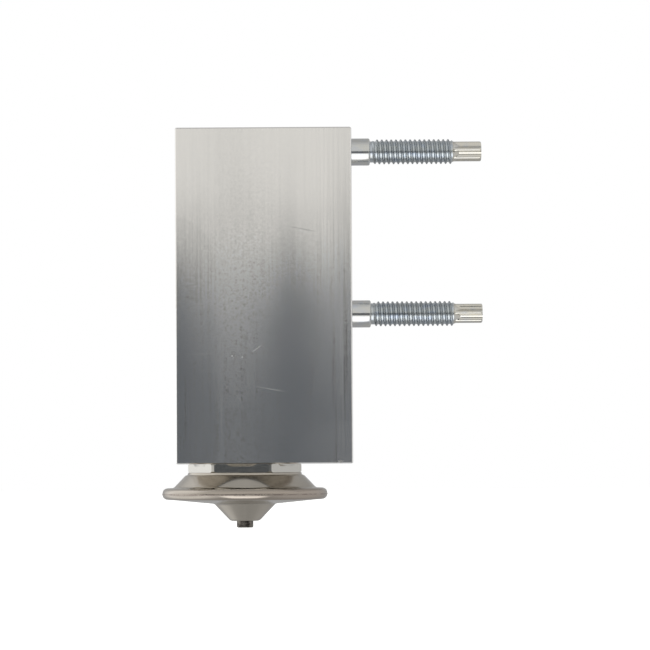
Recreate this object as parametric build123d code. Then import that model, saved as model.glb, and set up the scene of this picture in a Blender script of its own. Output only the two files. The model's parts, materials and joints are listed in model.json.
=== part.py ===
from build123d import *
import math
import os

# Block-type thermostatic expansion valve of a vehicle air conditioner.
# Millimetres. The origin lies on the axis of the suction port, 4 mm inside the evaporator face.
# +X runs from the evaporator face to the line face, where the studs stand out.
# +Z runs from the power head, at the bottom, to the adjusting screw, at the top.

OVERSHOOT = 1.0  # how far a cutting shape stands out of the face that it opens

# ---- block ----
EVAPORATOR_FACE_X = -4.0
BLOCK_LENGTH = 38.4  # X, evaporator face to line face
BLOCK_DEPTH = 28.0  # Y
BLOCK_HEIGHT = 73.1  # Z
BLOCK_CORNER = 0.5  # round of the four extruded edges
BLOCK_EDGE = 0.25  # broken edge where the bar was cut off
SUCTION_HEIGHT = 18.8  # suction ports above the power head end of the block
EVAPORATOR_LIQUID_HEIGHT = 42.8  # liquid port on the evaporator face
LINE_LIQUID_HEIGHT = 52.3  # liquid port on the line face
STEM_FROM_FACE = 14.57  # evaporator face to the axis of power head, rods, ball and screw

# ---- ports: radius and depth of the socket, radius of the drilled way behind it ----
EVAPORATOR_SUCTION_R = 8.25
LINE_SUCTION_R = 7.75
SUCTION_SOCKET_DEPTH = 9.0
SUCTION_WAY_R = 7.0
EVAPORATOR_SOCKET_R = 6.0
EVAPORATOR_SOCKET_DEPTH = 7.0
EVAPORATOR_WAY_R = 3.6
LINE_SOCKET_R = 5.2
LINE_SOCKET_DEPTH = 8.0
LINE_WAY_R = 2.8
PORT_CHAMFER = 0.75  # seat of the O-ring of a pipe stub

# ---- tapped holes of the evaporator plate ----
PLATE_HOLE_HEIGHT = 30.8
PLATE_HOLE_SPACING = 17.0
PLATE_HOLE_R = 2.5  # thread size of M5
PLATE_HOLE_DEPTH = 12.0

# ---- studs ----
UPPER_STUD_HEIGHT = 68.86
LOWER_STUD_HEIGHT = 32.95
UPPER_STUD_TURN = 10.0  # degrees from -Y towards +Z of one lobe of the drive
LOWER_STUD_TURN = 5.0
STUD_THREAD_R = 2.74  # over the crests
STUD_COLLAR_R = 3.0
STUD_COLLAR_END = 4.15  # all stud lengths are measured from the line face
STUD_NECK_R = 2.7
STUD_NECK_END = 4.9
STUD_NECK_WAIST_R = 2.5
STUD_THREAD_END = 22.65
STUD_DRIVE_END = 28.85
STUD_ROOT_R = 2.45  # thread in the block
STUD_ROOT_DEPTH = 12.0
STUD_COUNTERSINK_R = 3.05  # mouth of the tapped hole, just wider than the collar
DRIVE_LOBE_R = 2.25  # over the lobes
DRIVE_ROOT_R = 1.62  # between the lobes
DRIVE_LOBE_ROUND = 0.45
DRIVE_LOBES = 6
DRIVE_RUNOUT = 1.3
DRIVE_END_CHAMFER = 0.35

# ---- power head: depths below the block ----
WASHER_TOP_R = 11.5  # the washer collar narrows downwards over the flats
WASHER_FACE_R = 11.25
WASHER_FACE_DEPTH = 0.55
HEX_ACROSS_FLATS = 22.0
HEX_CORNER_R = 12.5
HEX_TURN = 27.5  # degrees from -Y towards +X of one corner
HEX_END_DEPTH = 1.9
HEX_CHAMFER = 0.25
NECK_R = 9.5
NECK_LENGTH = 7.0  # above the block's end face
NECK_BORE_R = 5.2
NECK_BORE_CONE = 0.5  # step of the block's bore from neck to passage
NECK_CHAMFER = 0.8
SEAL_GROOVE_R = 10.9
SEAL_GROOVE_DEPTH = 1.5
SHOULDER_TOP_R = 12.5  # pressed step between the hexagon and the cone
SHOULDER_STEP_R = 12.6
SHOULDER_STEP_DEPTH = 2.4
SHOULDER_R = 13.15
CONE_TOP_DEPTH = 2.6
CONE_FOOT_R = 15.77
CONE_FOOT_ROUND = 1.2
FLANGE_TOP_DEPTH = 5.34
FLANGE_BOTTOM_DEPTH = 7.84
RIM_R = 18.2
RIM_WALL = 1.15  # round of the rim on either side of the weld
SHOULDER_ROUND = 0.35
SHOULDER_STEP_ROUND = 0.15
PRESS_ROUND = 0.6  # other bends of the pressed sheet
DIAPHRAGM_R = 17.0
DIAPHRAGM_THICKNESS = 0.3
DIAPHRAGM_DEPTH = 6.35  # upper face
DIAPHRAGM_WAVES = 3
DIAPHRAGM_WAVE_START_R = 9.0
DIAPHRAGM_WAVE_LENGTH = 1.8
DIAPHRAGM_WAVE_HEIGHT = 0.35
SHELL_THICKNESS = 0.9
COVER_DISH_R = 16.6  # where the flat rim turns into the shallow underside
COVER_DISH_DEPTH = 8.8
COVER_BOSS_R = 6.8
COVER_NOSE_R = 3.2
COVER_NOSE_DEPTH = 12.58
COVER_NOSE_WALL = 0.8
COVER_BOSS_ROUND = 0.9
COVER_NOSE_ROUND = 1.1
PLUG_R = 1.83
PLUG_END_DEPTH = 14.05
PLUG_LENGTH = 3.2

# ---- stem: heights above the power head end of the block ----
STOPPER_R = 8.0
STOPPER_THICKNESS = 1.2
STOPPER_LAND_R = 6.6  # meets the housing shell when the valve is fully open
STOPPER_LAND_GAP = 0.05
STOPPER_HUB_R = 4.0
STOPPER_HUB_END = 3.0
ROD_R = 2.4
ROD_SOCKET_DEPTH = 3.0
ROD_GUIDE_CLEARANCE = 0.05
ROD_TOP = 33.8
GUIDE_TOP = 35.8
SEAL_GAP = 0.02  # O-rings are drawn this far clear of the metal
SEAL_POCKET_R = 4.2
SEAL_POCKET_TOP = 30.0
SEAL_POCKET_BASE = 20.8
RETAINER_BASE = 26.4
RETAINER_THICKNESS = 0.8
RETAINER_CLEARANCE = 0.15
DAMPER_BASE = 25.0
DAMPER_THICKNESS = 0.5
DAMPER_LEGS = 3
PUSH_ROD_R = 1.2
PUSH_ROD_SOCKET = 2.0
OUTLET_CHAMBER_R = 3.5
OUTLET_CHAMBER_BASE = 38.6
SEAT_BASE = 46.8
SEAT_TOP = 49.3
SEAT_R = 3.8
ORIFICE_R = 1.7
VALVE_LIFT = 0.8
BALL_R = 2.3
CHAMBER_R = 5.0
CHAMBER_TOP = 63.3
HOLDER_R = 3.9
HOLDER_HEIGHT = 2.6
HOLDER_HUB_R = 2.6
HOLDER_RELIEF_R = 0.6  # dimple at the top of the ball's cup
HOLDER_RELIEF_DEPTH = 0.3
SPRING_R = 3.3  # middle of the wire
SPRING_WIRE_R = 0.5
SPRING_TURNS = 4
SPRING_SIDE_GAP = 0.1  # to the wall of its recess in the screw
SCREW_THREAD_R = 5.95
SCREW_BORE_R = 6.0
SCREW_BORE_CHAMFER = 0.5
SCREW_THREAD_CHAMFER = 0.5
SCREW_DRIVE_CHAMFER = 0.5
SCREW_THREAD_BASE = 64.8
SCREW_TOP = 71.4
SCREW_NOSE_R = 4.92
SCREW_NOSE_BASE = 59.2
SCREW_RECESS_DEPTH = 1.6  # takes the end of the valve spring
SCREW_HEX_FLATS = 5.0
SCREW_HEX_DEPTH = 5.0
SCREW_SEAL_HEIGHT = 61.8
SCREW_SEAL_WIRE_R = 0.52
SCREW_SEAL_GAP = 0.01
SCREW_GROOVE_R = 3.9
SCREW_GROOVE_WIDTH = 1.2

LINE_FACE_X = EVAPORATOR_FACE_X + BLOCK_LENGTH
STEM_X = EVAPORATOR_FACE_X + STEM_FROM_FACE
BLOCK_BASE_Z = -SUCTION_HEIGHT
BLOCK_TOP_Z = BLOCK_BASE_Z + BLOCK_HEIGHT
STEM = Axis((STEM_X, 0, 0), (0, 0, 1))


def up(height):
    """Z of a height above the power head end of the block."""
    return BLOCK_BASE_Z + height


def down(depth):
    """Z of a depth below the power head end of the block."""
    return BLOCK_BASE_Z - depth


def turned(*points):
    """Solid of revolution about the stem axis from (radius, z) corners."""
    corners = [(STEM_X + radius, 0, z) for radius, z in points]
    return revolve(make_face(Polyline(*corners, close=True)), STEM)


def turned_soft(points, rounds):
    """As turned(), with a radius for each corner."""
    corners = [(STEM_X + radius, 0, z) for radius, z in points]
    outline = FilletPolyline(*corners, radius=rounds, close=True)
    return revolve(make_face(outline), STEM)


def ring(middle_r, wire_r, z):
    """O-ring round the stem axis."""
    return Pos(STEM_X, 0, z) * Torus(middle_r, wire_r)


def along_x(radius, x_from, x_to, z, y=0.0):
    """Cylinder parallel to X."""
    rod = Cylinder(radius, x_to - x_from, align=(Align.CENTER, Align.CENTER, Align.MIN))
    return Pos(x_from, y, z) * Rot(0, 90, 0) * rod


def cone_along_x(r_from, r_to, x_from, x_to, z):
    """Truncated cone parallel to X."""
    cone = Cone(r_from, r_to, x_to - x_from, align=(Align.CENTER, Align.CENTER, Align.MIN))
    return Pos(x_from, 0, z) * Rot(0, 90, 0) * cone


def hexagon(across_flats, z_from, z_to, turn):
    """Hexagonal prism on the stem axis, one corner at turn degrees from -Y towards +X."""
    sketch = RegularPolygon(across_flats / 2, 6, major_radius=False, rotation=turn - 90)
    return Pos(STEM_X, 0, z_from) * extrude(sketch, z_to - z_from)


def socket(radius, depth, face_x, inward, z):
    """Port socket with its chamfered mouth, cut from face_x towards inward (+1 or -1)."""
    bottom_x = face_x + inward * depth
    mouth_x = face_x - inward * OVERSHOOT
    chamfer_x = face_x + inward * PORT_CHAMFER
    barrel = along_x(radius, min(bottom_x, mouth_x), max(bottom_x, mouth_x), z)
    if inward > 0:
        return barrel + cone_along_x(radius + PORT_CHAMFER, radius, face_x, chamfer_x, z)
    return barrel + cone_along_x(radius, radius + PORT_CHAMFER, chamfer_x, face_x, z)


def make_valve_body():
    block = Box(BLOCK_LENGTH, BLOCK_DEPTH, BLOCK_HEIGHT, align=(Align.MIN, Align.CENTER, Align.MIN))
    block = Pos(EVAPORATOR_FACE_X, 0, BLOCK_BASE_Z) * block
    block = fillet(block.edges().filter_by(Axis.Z), BLOCK_CORNER)
    cut_faces = block.faces().filter_by(Axis.Z)
    block = chamfer(cut_faces.edges(), BLOCK_EDGE)

    # vertical bores on the stem axis, from the power head end upwards
    below = down(OVERSHOOT)
    block -= turned((0, below), (SEAL_GROOVE_R, below), (SEAL_GROOVE_R, up(SEAL_GROOVE_DEPTH)),
                    (NECK_R, up(SEAL_GROOVE_DEPTH)), (NECK_R, up(NECK_LENGTH)),
                    (NECK_BORE_R, up(NECK_LENGTH + NECK_BORE_CONE)), (NECK_BORE_R, 0), (0, 0))
    guide_r = ROD_R + ROD_GUIDE_CLEARANCE
    push_guide_r = PUSH_ROD_R + ROD_GUIDE_CLEARANCE
    mouth_r = SCREW_BORE_R + SCREW_BORE_CHAMFER
    above = BLOCK_TOP_Z + OVERSHOOT
    block -= turned((0, up(SEAL_POCKET_BASE)), (SEAL_POCKET_R, up(SEAL_POCKET_BASE)),
                    (SEAL_POCKET_R, up(SEAL_POCKET_TOP)), (guide_r, up(SEAL_POCKET_TOP)),
                    (guide_r, up(GUIDE_TOP)), (push_guide_r, up(GUIDE_TOP)),
                    (push_guide_r, up(OUTLET_CHAMBER_BASE)),
                    (OUTLET_CHAMBER_R, up(OUTLET_CHAMBER_BASE)), (OUTLET_CHAMBER_R, up(SEAT_BASE)),
                    (SEAT_R, up(SEAT_BASE)), (SEAT_R, up(SEAT_TOP)),
                    (CHAMBER_R, up(SEAT_TOP)), (CHAMBER_R, up(CHAMBER_TOP)),
                    (SCREW_BORE_R, up(CHAMBER_TOP)), (SCREW_BORE_R, BLOCK_TOP_Z - SCREW_BORE_CHAMFER),
                    (mouth_r, BLOCK_TOP_Z), (mouth_r, above), (0, above))

    # suction passage, right through
    block -= along_x(SUCTION_WAY_R, EVAPORATOR_FACE_X, LINE_FACE_X, 0)
    block -= socket(EVAPORATOR_SUCTION_R, SUCTION_SOCKET_DEPTH, EVAPORATOR_FACE_X, 1, 0)
    block -= socket(LINE_SUCTION_R, SUCTION_SOCKET_DEPTH, LINE_FACE_X, -1, 0)

    # liquid way in from the line and out to the evaporator
    line_z = up(LINE_LIQUID_HEIGHT)
    block -= along_x(LINE_WAY_R, STEM_X, LINE_FACE_X, line_z)
    block -= socket(LINE_SOCKET_R, LINE_SOCKET_DEPTH, LINE_FACE_X, -1, line_z)
    evaporator_z = up(EVAPORATOR_LIQUID_HEIGHT)
    block -= along_x(EVAPORATOR_WAY_R, EVAPORATOR_FACE_X, STEM_X, evaporator_z)
    block -= socket(EVAPORATOR_SOCKET_R, EVAPORATOR_SOCKET_DEPTH, EVAPORATOR_FACE_X, 1, evaporator_z)

    # tapped holes
    for side in (-1, 1):
        block -= along_x(PLATE_HOLE_R, EVAPORATOR_FACE_X - OVERSHOOT,
                         EVAPORATOR_FACE_X + PLATE_HOLE_DEPTH, up(PLATE_HOLE_HEIGHT),
                         side * PLATE_HOLE_SPACING / 2)
    for height in (UPPER_STUD_HEIGHT, LOWER_STUD_HEIGHT):
        root_x = LINE_FACE_X - STUD_ROOT_DEPTH
        sink_x = LINE_FACE_X - (STUD_COUNTERSINK_R - STUD_ROOT_R)
        block -= along_x(STUD_ROOT_R, root_x, LINE_FACE_X + OVERSHOOT, up(height))
        block -= cone_along_x(STUD_ROOT_R, STUD_COUNTERSINK_R, sink_x, LINE_FACE_X, up(height))
    return block


def make_power_head_mount():
    nut = turned((0, down(0)), (HEX_CORNER_R - HEX_CHAMFER, down(0)),
                 (HEX_CORNER_R, down(HEX_CHAMFER)),
                 (HEX_CORNER_R, down(HEX_END_DEPTH - HEX_CHAMFER)),
                 (HEX_CORNER_R - HEX_CHAMFER, down(HEX_END_DEPTH)), (0, down(HEX_END_DEPTH)))
    prism = hexagon(HEX_ACROSS_FLATS, down(HEX_END_DEPTH), down(0), HEX_TURN)
    washer = turned((0, down(WASHER_FACE_DEPTH)), (WASHER_FACE_R, down(WASHER_FACE_DEPTH)),
                    (WASHER_TOP_R, down(0)), (0, down(0)))
    neck = turned((0, down(0)), (NECK_R, down(0)), (NECK_R, up(NECK_LENGTH - NECK_CHAMFER)),
                  (NECK_R - NECK_CHAMFER, up(NECK_LENGTH)), (0, up(NECK_LENGTH)))
    bore_from = down(HEX_END_DEPTH + OVERSHOOT)
    bore_to = up(NECK_LENGTH + OVERSHOOT)
    bore = turned((0, bore_from), (NECK_BORE_R, bore_from), (NECK_BORE_R, bore_to), (0, bore_to))
    return (nut & prism) + washer + neck - bore


def make_housing_shell():
    top = down(HEX_END_DEPTH)
    joint = down(DIAPHRAGM_DEPTH + DIAPHRAGM_THICKNESS)
    inner_cone_r = SHOULDER_R - SHELL_THICKNESS
    inner_foot_r = CONE_FOOT_R - SHELL_THICKNESS / 2
    outline = [(NECK_BORE_R, top), (SHOULDER_TOP_R, top),
               (SHOULDER_STEP_R, down(SHOULDER_STEP_DEPTH)), (SHOULDER_R, down(CONE_TOP_DEPTH)),
               (CONE_FOOT_R, down(FLANGE_TOP_DEPTH)), (RIM_R, down(FLANGE_TOP_DEPTH)),
               (RIM_R, joint), (DIAPHRAGM_R, joint), (DIAPHRAGM_R, down(DIAPHRAGM_DEPTH)),
               (inner_foot_r, down(DIAPHRAGM_DEPTH)),
               (inner_cone_r, down(CONE_TOP_DEPTH + SHELL_THICKNESS)),
               (NECK_BORE_R, down(CONE_TOP_DEPTH + SHELL_THICKNESS))]
    rounds = [0, SHOULDER_STEP_ROUND, SHOULDER_STEP_ROUND, SHOULDER_ROUND, CONE_FOOT_ROUND,
              RIM_WALL, 0, 0, 0, PRESS_ROUND, PRESS_ROUND, 0]
    return turned_soft(outline, rounds)


def make_cover_shell():
    """Flange, shallow conical underside and the steep cone that carries the charge plug."""
    top = down(DIAPHRAGM_DEPTH + DIAPHRAGM_THICKNESS)
    flange = down(FLANGE_BOTTOM_DEPTH)
    dish = down(COVER_DISH_DEPTH)
    nose = down(COVER_NOSE_DEPTH)
    wall = SHELL_THICKNESS
    slant_wall = wall * 1.3  # the same wall measured across the cone
    plug_seat = nose + PLUG_LENGTH - (PLUG_END_DEPTH - COVER_NOSE_DEPTH)
    outline = [(RIM_R, top), (RIM_R, flange), (COVER_DISH_R, flange), (COVER_BOSS_R, dish),
               (COVER_NOSE_R, nose), (PLUG_R, nose), (PLUG_R, plug_seat),
               (COVER_NOSE_R - COVER_NOSE_WALL, plug_seat), (COVER_BOSS_R - slant_wall, dish + wall),
               (COVER_DISH_R - wall, top)]
    rounds = [0, RIM_WALL, PRESS_ROUND, COVER_BOSS_ROUND, COVER_NOSE_ROUND, 0, 0, 0, PRESS_ROUND, 0]
    return turned_soft(outline, rounds)


def make_diaphragm():
    """Thin disc with concentric waves between its flat middle and its welded edge."""
    top = down(DIAPHRAGM_DEPTH)
    upper = [(0, top)]
    for wave in range(DIAPHRAGM_WAVES):
        start_r = DIAPHRAGM_WAVE_START_R + wave * DIAPHRAGM_WAVE_LENGTH
        upper += [(start_r, top), (start_r + DIAPHRAGM_WAVE_LENGTH / 2, top + DIAPHRAGM_WAVE_HEIGHT)]
    upper += [(DIAPHRAGM_WAVE_START_R + DIAPHRAGM_WAVES * DIAPHRAGM_WAVE_LENGTH, top), (DIAPHRAGM_R, top)]
    lower = [(radius, z - DIAPHRAGM_THICKNESS) for radius, z in reversed(upper)]
    return turned(*upper, *lower)


def make_charge_plug():
    end = down(PLUG_END_DEPTH)
    start = end + PLUG_LENGTH
    chamfer_size = 0.2
    return turned((0, start), (PLUG_R, start), (PLUG_R, end + chamfer_size),
                  (PLUG_R - chamfer_size, end), (0, end))


def make_power_head_seal():
    wire_r = (SEAL_GROOVE_R - NECK_R) / 2 - SEAL_GAP
    return ring((SEAL_GROOVE_R + NECK_R) / 2, wire_r, up(SEAL_GROOVE_DEPTH / 2))


def make_diaphragm_stopper():
    """Disc and hub, at rest held up against the housing shell: the valve is fully open."""
    base = down(DIAPHRAGM_DEPTH)
    plate_top = base + STOPPER_THICKNESS
    land = down(CONE_TOP_DEPTH + SHELL_THICKNESS) - STOPPER_LAND_GAP
    rod_base = up(STOPPER_HUB_END) - ROD_SOCKET_DEPTH
    return turned((0, base), (STOPPER_R, base), (STOPPER_R, plate_top), (STOPPER_LAND_R, land),
                  (STOPPER_HUB_R, land), (STOPPER_HUB_R, up(STOPPER_HUB_END)),
                  (ROD_R, up(STOPPER_HUB_END)), (ROD_R, rod_base), (0, rod_base))


def make_sensing_rod():
    base = up(STOPPER_HUB_END) - ROD_SOCKET_DEPTH
    top = up(ROD_TOP)
    chamfer_size = 0.3
    return turned((0, base), (ROD_R, base), (ROD_R, top - chamfer_size),
                  (ROD_R - chamfer_size, top), (PUSH_ROD_R, top),
                  (PUSH_ROD_R, top - PUSH_ROD_SOCKET), (0, top - PUSH_ROD_SOCKET))


def make_rod_seal():
    wire_r = (SEAL_POCKET_R - ROD_R) / 2 - SEAL_GAP
    middle = (RETAINER_BASE + RETAINER_THICKNESS + SEAL_POCKET_TOP) / 2
    return ring((SEAL_POCKET_R + ROD_R) / 2, wire_r, up(middle))


def make_rod_seal_retainer():
    base = up(RETAINER_BASE)
    top = base + RETAINER_THICKNESS
    inner = ROD_R + RETAINER_CLEARANCE
    return turned((inner, base), (SEAL_POCKET_R, base), (SEAL_POCKET_R, top), (inner, top))


def make_damping_spring():
    """Flat ring pressed into the pocket, with legs that reach in to the rod."""
    leg_width = 1.2
    hoop_width = 0.7
    rubbing_gap = 0.02
    hoop = Circle(SEAL_POCKET_R) - Circle(SEAL_POCKET_R - hoop_width)
    reach = SEAL_POCKET_R - hoop_width / 2
    for leg in range(DAMPER_LEGS):
        strip = Pos(reach / 2, 0) * Rectangle(reach, leg_width)
        hoop += Rot(0, 0, leg * 360 / DAMPER_LEGS + 90) * strip
    hoop -= Circle(ROD_R + rubbing_gap)
    return Pos(STEM_X, 0, up(DAMPER_BASE)) * extrude(hoop, DAMPER_THICKNESS)


def ball_centre_z():
    """Ball resting on the orifice edge, raised by the valve lift."""
    seated = math.sqrt(BALL_R ** 2 - ORIFICE_R ** 2)
    return up(SEAT_TOP) + seated + VALVE_LIFT


def make_push_rod():
    base = up(ROD_TOP - PUSH_ROD_SOCKET)
    top = ball_centre_z() - BALL_R
    chamfer_size = 0.1
    return turned((0, base), (PUSH_ROD_R, base), (PUSH_ROD_R, top - chamfer_size),
                  (PUSH_ROD_R - chamfer_size, top), (0, top))


def make_valve_seat():
    base, top = up(SEAT_BASE), up(SEAT_TOP)
    throat_r = ORIFICE_R + 0.6
    throat_depth = 0.8
    return turned((throat_r, base), (SEAT_R, base), (SEAT_R, top), (ORIFICE_R, top),
                  (ORIFICE_R, base + throat_depth))


def make_valve_ball():
    return Pos(STEM_X, 0, ball_centre_z()) * Sphere(BALL_R)


def make_ball_holder():
    """Cup that the ball sits in, with a hub above that centres the spring."""
    base = ball_centre_z()
    chamfer_size = 0.6
    hub_height = 1.2
    flange_top = base + HOLDER_HEIGHT
    hub_top = flange_top + hub_height
    cup = turned((0, base), (HOLDER_R - chamfer_size, base), (HOLDER_R, base + chamfer_size),
                 (HOLDER_R, flange_top), (HOLDER_HUB_R, flange_top), (HOLDER_HUB_R, hub_top),
                 (0, hub_top))
    relief = Pos(STEM_X, 0, base + BALL_R) * Cylinder(HOLDER_RELIEF_R, HOLDER_RELIEF_DEPTH * 2)
    return cup - Pos(STEM_X, 0, base) * Sphere(BALL_R) - relief


def make_valve_spring():
    """Compression spring with ground ends, between the ball holder and the screw."""
    base = ball_centre_z() + HOLDER_HEIGHT
    length = up(SCREW_NOSE_BASE + SCREW_RECESS_DEPTH) - base
    path = Helix(length / SPRING_TURNS, length, SPRING_R)
    wire = Plane(origin=path @ 0, z_dir=path % 0) * Circle(SPRING_WIRE_R)
    coil = sweep(wire, path, is_frenet=True)
    ground = Cylinder(CHAMBER_R, length, align=(Align.CENTER, Align.CENTER, Align.MIN))
    return Pos(STEM_X, 0, base) * (coil & ground)


def make_adjusting_screw():
    groove_base = up(SCREW_SEAL_HEIGHT) - SCREW_GROOVE_WIDTH / 2
    groove_top = groove_base + SCREW_GROOVE_WIDTH
    nose = up(SCREW_NOSE_BASE)
    top = up(SCREW_TOP)
    recess_r = SPRING_R + SPRING_WIRE_R + SPRING_SIDE_GAP
    thread_base = up(SCREW_THREAD_BASE)
    thread_end_r = SCREW_THREAD_R - SCREW_THREAD_CHAMFER
    recess_top = nose + SCREW_RECESS_DEPTH
    recess_wall = SCREW_NOSE_R - recess_r
    body = turned((0, recess_top), (recess_r, recess_top), (recess_r, nose),
                  (recess_r + recess_wall / 2, nose), (SCREW_NOSE_R, nose + recess_wall / 2),
                  (SCREW_NOSE_R, groove_base), (SCREW_GROOVE_R, groove_base),
                  (SCREW_GROOVE_R, groove_top), (SCREW_NOSE_R, groove_top),
                  (SCREW_NOSE_R, thread_base), (thread_end_r, thread_base),
                  (SCREW_THREAD_R, thread_base + SCREW_THREAD_CHAMFER),
                  (SCREW_THREAD_R, top - SCREW_THREAD_CHAMFER), (thread_end_r, top), (0, top))
    above = top + OVERSHOOT
    drive = hexagon(SCREW_HEX_FLATS, top - SCREW_HEX_DEPTH, above, HEX_TURN)
    mouth_r = SCREW_HEX_FLATS / math.sqrt(3) + 0.1
    mouth_base = top - SCREW_DRIVE_CHAMFER
    mouth = turned((0, mouth_base), (mouth_r - SCREW_DRIVE_CHAMFER, mouth_base), (mouth_r, top),
                   (mouth_r, above), (0, above))
    return body - drive - mouth


def make_adjusting_screw_seal():
    middle_r = SCREW_GROOVE_R + SCREW_SEAL_WIRE_R + SCREW_SEAL_GAP
    return ring(middle_r, SCREW_SEAL_WIRE_R, up(SCREW_SEAL_HEIGHT))


def lobe_profile(turn):
    """Six-lobe outline: lobe and flute arcs that meet at tangent points."""
    half_step = math.pi / DRIVE_LOBES
    lobe_centre = DRIVE_LOBE_R - DRIVE_LOBE_ROUND
    # flute radius that makes its arc touch both neighbouring lobe arcs
    cosine = math.cos(half_step)
    spare = (DRIVE_ROOT_R ** 2 + lobe_centre ** 2 - 2 * lobe_centre * DRIVE_ROOT_R * cosine
             - DRIVE_LOBE_ROUND ** 2)
    flute_r = spare / (2 * (DRIVE_LOBE_ROUND - DRIVE_ROOT_R + lobe_centre * cosine))
    flute_centre = DRIVE_ROOT_R + flute_r
    share = DRIVE_LOBE_ROUND / (DRIVE_LOBE_ROUND + flute_r)

    def polar(radius, angle):
        return Vector(radius * math.cos(angle), radius * math.sin(angle))

    arcs = []
    for index in range(DRIVE_LOBES):
        angle = math.radians(turn) + index * 2 * half_step
        lobe = polar(lobe_centre, angle)
        before = lobe + (polar(flute_centre, angle - half_step) - lobe) * share
        after = lobe + (polar(flute_centre, angle + half_step) - lobe) * share
        next_lobe = polar(lobe_centre, angle + 2 * half_step)
        far_side = next_lobe + (polar(flute_centre, angle + half_step) - next_lobe) * share
        arcs.append(ThreePointArc(before, polar(DRIVE_LOBE_R, angle), after))
        arcs.append(ThreePointArc(after, polar(DRIVE_ROOT_R, angle + half_step), far_side))
    return make_face(arcs)


def revolved_about_x(points):
    """Solid of revolution about the X axis from (x, radius) corners."""
    corners = [(x, radius, 0) for x, radius in points]
    return revolve(make_face(Polyline(*corners, close=True)), Axis.X)


def make_stud(height, turn):
    """Double-ended stud along X: root thread, collar, thread and external six-lobe drive."""
    collar_chamfer = 0.3
    thread_start = STUD_NECK_END + 0.3  # cone from the neck up to the crests
    thread_stop = STUD_THREAD_END - 0.4  # cone from the crests down to the drive
    drive_start = STUD_THREAD_END + DRIVE_RUNOUT
    shank = revolved_about_x([
        (-STUD_ROOT_DEPTH, 0), (-STUD_ROOT_DEPTH, STUD_ROOT_R), (0, STUD_ROOT_R),
        (0, STUD_COLLAR_R), (STUD_COLLAR_END - collar_chamfer, STUD_COLLAR_R),
        (STUD_COLLAR_END, STUD_NECK_R), (STUD_NECK_END, STUD_NECK_WAIST_R),
        (thread_start, STUD_THREAD_R), (thread_stop, STUD_THREAD_R),
        (STUD_THREAD_END, DRIVE_LOBE_R), (drive_start, DRIVE_ROOT_R), (drive_start, 0)])
    drive_length = STUD_DRIVE_END - STUD_THREAD_END
    # in this plane x is +Y and y is +Z, so a turn from -Y towards +Z starts at 180 degrees
    drive_plane = Plane(origin=(STUD_THREAD_END, 0, 0), x_dir=(0, 1, 0), z_dir=(1, 0, 0))
    lobes = drive_plane * extrude(lobe_profile(180 - turn), drive_length)
    outside_r = DRIVE_LOBE_R + OVERSHOOT
    envelope = revolved_about_x([
        (STUD_THREAD_END, 0), (STUD_THREAD_END, outside_r),
        (STUD_DRIVE_END - DRIVE_END_CHAMFER - OVERSHOOT, outside_r),
        (STUD_DRIVE_END, DRIVE_LOBE_R - DRIVE_END_CHAMFER), (STUD_DRIVE_END, 0)])
    return Pos(LINE_FACE_X, 0, up(height)) * (shank + (lobes & envelope))


PARTS = {
    "valve_body": make_valve_body,
    "power_head_mount": make_power_head_mount,
    "housing_shell": make_housing_shell,
    "cover_shell": make_cover_shell,
    "diaphragm": make_diaphragm,
    "charge_plug": make_charge_plug,
    "power_head_seal": make_power_head_seal,
    "diaphragm_stopper": make_diaphragm_stopper,
    "sensing_rod": make_sensing_rod,
    "rod_seal": make_rod_seal,
    "rod_seal_retainer": make_rod_seal_retainer,
    "damping_spring": make_damping_spring,
    "push_rod": make_push_rod,
    "valve_seat": make_valve_seat,
    "valve_ball": make_valve_ball,
    "ball_holder": make_ball_holder,
    "valve_spring": make_valve_spring,
    "adjusting_screw": make_adjusting_screw,
    "adjusting_screw_seal": make_adjusting_screw_seal,
    "upper_stud": lambda: make_stud(UPPER_STUD_HEIGHT, UPPER_STUD_TURN),
    "lower_stud": lambda: make_stud(LOWER_STUD_HEIGHT, LOWER_STUD_TURN),
}

os.makedirs("parts", exist_ok=True)
for node, make in PARTS.items():
    export_step(make(), f"parts/{node}.step")
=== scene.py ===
import json
import math

import bmesh
import bpy
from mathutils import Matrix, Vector


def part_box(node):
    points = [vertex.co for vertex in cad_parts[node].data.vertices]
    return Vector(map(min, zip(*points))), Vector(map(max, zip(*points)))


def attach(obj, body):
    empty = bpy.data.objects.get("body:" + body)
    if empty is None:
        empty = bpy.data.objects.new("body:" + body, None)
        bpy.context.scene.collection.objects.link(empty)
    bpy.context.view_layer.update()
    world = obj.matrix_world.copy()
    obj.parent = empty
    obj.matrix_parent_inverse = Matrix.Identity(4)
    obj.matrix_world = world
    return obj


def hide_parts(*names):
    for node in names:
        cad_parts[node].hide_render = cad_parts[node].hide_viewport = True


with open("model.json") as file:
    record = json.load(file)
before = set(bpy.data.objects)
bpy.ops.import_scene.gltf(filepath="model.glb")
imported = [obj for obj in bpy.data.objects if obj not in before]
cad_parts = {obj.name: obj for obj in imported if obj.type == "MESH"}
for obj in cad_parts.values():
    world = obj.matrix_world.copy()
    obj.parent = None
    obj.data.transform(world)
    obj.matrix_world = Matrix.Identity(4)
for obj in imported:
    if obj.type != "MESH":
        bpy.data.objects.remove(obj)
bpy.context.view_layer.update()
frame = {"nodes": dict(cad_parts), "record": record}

# A block-type thermostatic expansion valve. Sizes are in millimetres until metres() turns them
# into the scene's unit. X runs along the studs, Z from the power head to the adjusting screw.
MM = 0.001


def metres(*values):
    return tuple(value * MM for value in values)


def millimetres(corner):
    return Vector([value / MM for value in corner])


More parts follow.
